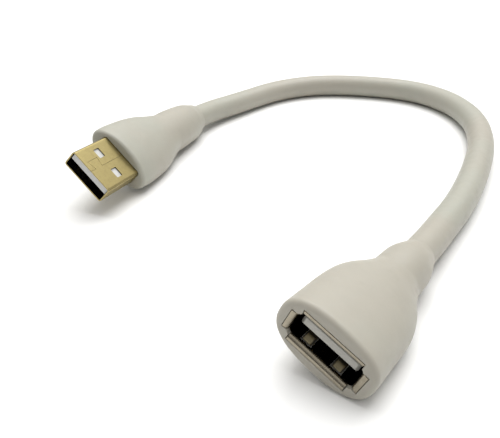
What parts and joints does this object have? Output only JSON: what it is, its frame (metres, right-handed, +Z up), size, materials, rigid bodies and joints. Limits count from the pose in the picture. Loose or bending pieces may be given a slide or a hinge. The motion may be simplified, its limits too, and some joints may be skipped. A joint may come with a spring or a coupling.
{
  "type": "usb type a extension cable",
  "caption": "Short shielded USB type A extension cable: a plug and a socket in soft off-white moulded hoods, joined by a stiff round lead lying in a wide loop.",
  "frame": {"origin": "on the table under the middle of the two connectors' common box", "axes": "+Z up from the table; +X from the plug towards the socket across the loop; +Y towards the bend of the cable, away from the open faces"},
  "size_m": [0.0967, 0.1278, 0.0154],
  "materials": {
    "soft_pvc": "satin, warm off-white soft plastic",
    "gold_plate": "fine brushed gold plating over steel",
    "plated_steel": "nickel plated sheet",
    "white_block": "semi-gloss moulded white",
    "contact_gold": "smooth gold flash",
    "solder": "bright tin solder",
    "inner_mould": "natural polyethylene",
    "tinned_braid": "tinned copper braid",
    "shield_foil": "bright foil",
    "copper": "bare drawn copper",
    "wire_black": "smooth extruded",
    "wire_green": "smooth extruded",
    "wire_white": "smooth extruded",
    "wire_red": "smooth extruded"
  },
  "bodies": {
    "lead": {"plug_shell": "gold_plate", "plug_insulator": "white_block", "plug_contact_ground": "contact_gold", "plug_contact_data_plus": "contact_gold", "plug_contact_data_minus": "contact_gold", "plug_contact_power": "contact_gold", "plug_solder_joints": "solder", "plug_inner_mould": "inner_mould", "plug_crimp": "plated_steel", "plug_overmould": "soft_pvc", "socket_shell": "plated_steel", "socket_insulator": "white_block", "socket_contact_ground": "contact_gold", "socket_contact_data_plus": "contact_gold", "socket_contact_data_minus": "contact_gold", "socket_contact_power": "contact_gold", "socket_solder_joints": "solder", "socket_inner_mould": "inner_mould", "socket_crimp": "plated_steel", "socket_overmould": "soft_pvc", "cable_jacket": "soft_pvc", "cable_braid": "tinned_braid", "cable_foil": "shield_foil", "wire_ground": "wire_black", "core_ground": "copper", "wire_data_plus": "wire_green", "core_data_plus": "copper", "wire_data_minus": "wire_white", "core_data_minus": "copper", "wire_power": "wire_red", "core_power": "copper"},
    "spring_ground": {"contact_spring_ground": "contact_gold"},
    "spring_data_plus": {"contact_spring_data_plus": "contact_gold"},
    "spring_data_minus": {"contact_spring_data_minus": "contact_gold"},
    "spring_power": {"contact_spring_power": "contact_gold"},
    "finger_bottom_left": {"shell_finger_bottom_left": "plated_steel"},
    "finger_bottom_right": {"shell_finger_bottom_right": "plated_steel"},
    "finger_top_left": {"shell_finger_top_left": "plated_steel"},
    "finger_top_right": {"shell_finger_top_right": "plated_steel"}
  },
  "joints": [
    {"name": "spring_ground_bend", "type": "hinge", "parent": "lead", "child": "spring_ground", "pos_m": [0.03684, -0.02403, 0.00878], "axis": [-0.9041, 0.0306, 0.4263], "range_deg": [0, 4.5], "stiffness_Nm_per_rad": 0.1},
    {"name": "spring_data_plus_bend", "type": "hinge", "parent": "lead", "child": "spring_data_plus", "pos_m": [0.0391, -0.02411, 0.00771], "axis": [-0.9041, 0.0306, 0.4263], "range_deg": [0, 4.5], "stiffness_Nm_per_rad": 0.1},
    {"name": "spring_data_minus_bend", "type": "hinge", "parent": "lead", "child": "spring_data_minus", "pos_m": [0.04091, -0.02417, 0.00686], "axis": [-0.9041, 0.0306, 0.4263], "range_deg": [0, 4.5], "stiffness_Nm_per_rad": 0.1},
    {"name": "spring_power_bend", "type": "hinge", "parent": "lead", "child": "spring_power", "pos_m": [0.04317, -0.02425, 0.00579], "axis": [-0.9041, 0.0306, 0.4263], "range_deg": [0, 4.5], "stiffness_Nm_per_rad": 0.1},
    {"name": "finger_bottom_left_bend", "type": "hinge", "parent": "lead", "child": "finger_bottom_left", "pos_m": [0.03573, -0.0255, 0.00535], "axis": [0.9041, -0.0306, -0.4263], "range_deg": [0, 3.5], "stiffness_Nm_per_rad": 0.15},
    {"name": "finger_bottom_right_bend", "type": "hinge", "parent": "lead", "child": "finger_bottom_right", "pos_m": [0.04115, -0.02569, 0.00279], "axis": [0.9041, -0.0306, -0.4263], "range_deg": [0, 3.5], "stiffness_Nm_per_rad": 0.15},
    {"name": "finger_top_left_bend", "type": "hinge", "parent": "lead", "child": "finger_top_left", "pos_m": [0.03805, -0.02515, 0.01024], "axis": [-0.9041, 0.0306, 0.4263], "range_deg": [0, 3.5], "stiffness_Nm_per_rad": 0.15},
    {"name": "finger_top_right_bend", "type": "hinge", "parent": "lead", "child": "finger_top_right", "pos_m": [0.04347, -0.02534, 0.00768], "axis": [-0.9041, 0.0306, 0.4263], "range_deg": [0, 3.5], "stiffness_Nm_per_rad": 0.15}
  ]
}
